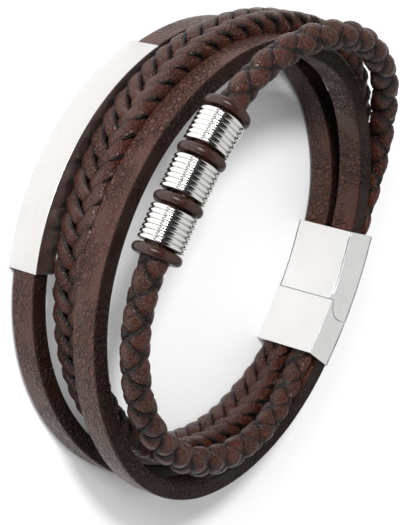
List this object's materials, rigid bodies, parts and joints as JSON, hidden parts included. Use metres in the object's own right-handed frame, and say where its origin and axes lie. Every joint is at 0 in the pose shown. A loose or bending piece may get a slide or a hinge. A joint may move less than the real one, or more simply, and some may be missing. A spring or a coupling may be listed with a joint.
{
  "type": "braided leather bracelet with a magnetic steel clasp",
  "caption": "Multi-strand bracelet of plain and braided leather with a curved steel plate, ribbed beads and a flat steel magnetic clasp.",
  "frame": {"origin": "under the middle of the outline, at the height of the surface that the bracelet lies on", "axes": "+X along the clasp, from the half with the tongue to the plain half; +Y from the wrist's middle to the clasp; +Z along the hand, up as the bracelet lies on its side"},
  "size_m": [0.0869, 0.074, 0.0308],
  "materials": {
    "leather_strap": "smooth dark brown with a soft sheen and a fine grain",
    "leather_braid": "dark brown laces with fine creases and a low gloss",
    "brushed_steel": "satin steel",
    "polished_steel": "polished steel with turned ribs",
    "rubber": "dark brown rubber, semi-gloss"
  },
  "bodies": {
    "root": {"clasp_tongue_half": "brushed_steel", "clasp_plain_half": "brushed_steel", "clasp_inner_panel": "brushed_steel", "plate_strap": "leather_strap", "plain_strap": "leather_strap", "steel_plate": "brushed_steel", "wide_braid_strand_1": "leather_braid", "wide_braid_strand_2": "leather_braid", "wide_braid_strand_3": "leather_braid", "wide_braid_strand_4": "leather_braid", "wide_braid_strand_5": "leather_braid", "round_braid_strand_1": "leather_braid", "round_braid_strand_2": "leather_braid", "round_braid_strand_3": "leather_braid", "round_braid_strand_4": "leather_braid", "ribbed_bead_1": "polished_steel", "ribbed_bead_2": "polished_steel", "ribbed_bead_3": "polished_steel", "rubber_ring_1": "rubber", "rubber_ring_2": "rubber", "rubber_ring_3": "rubber", "rubber_ring_4": "rubber"}
  },
  "joints": []
}
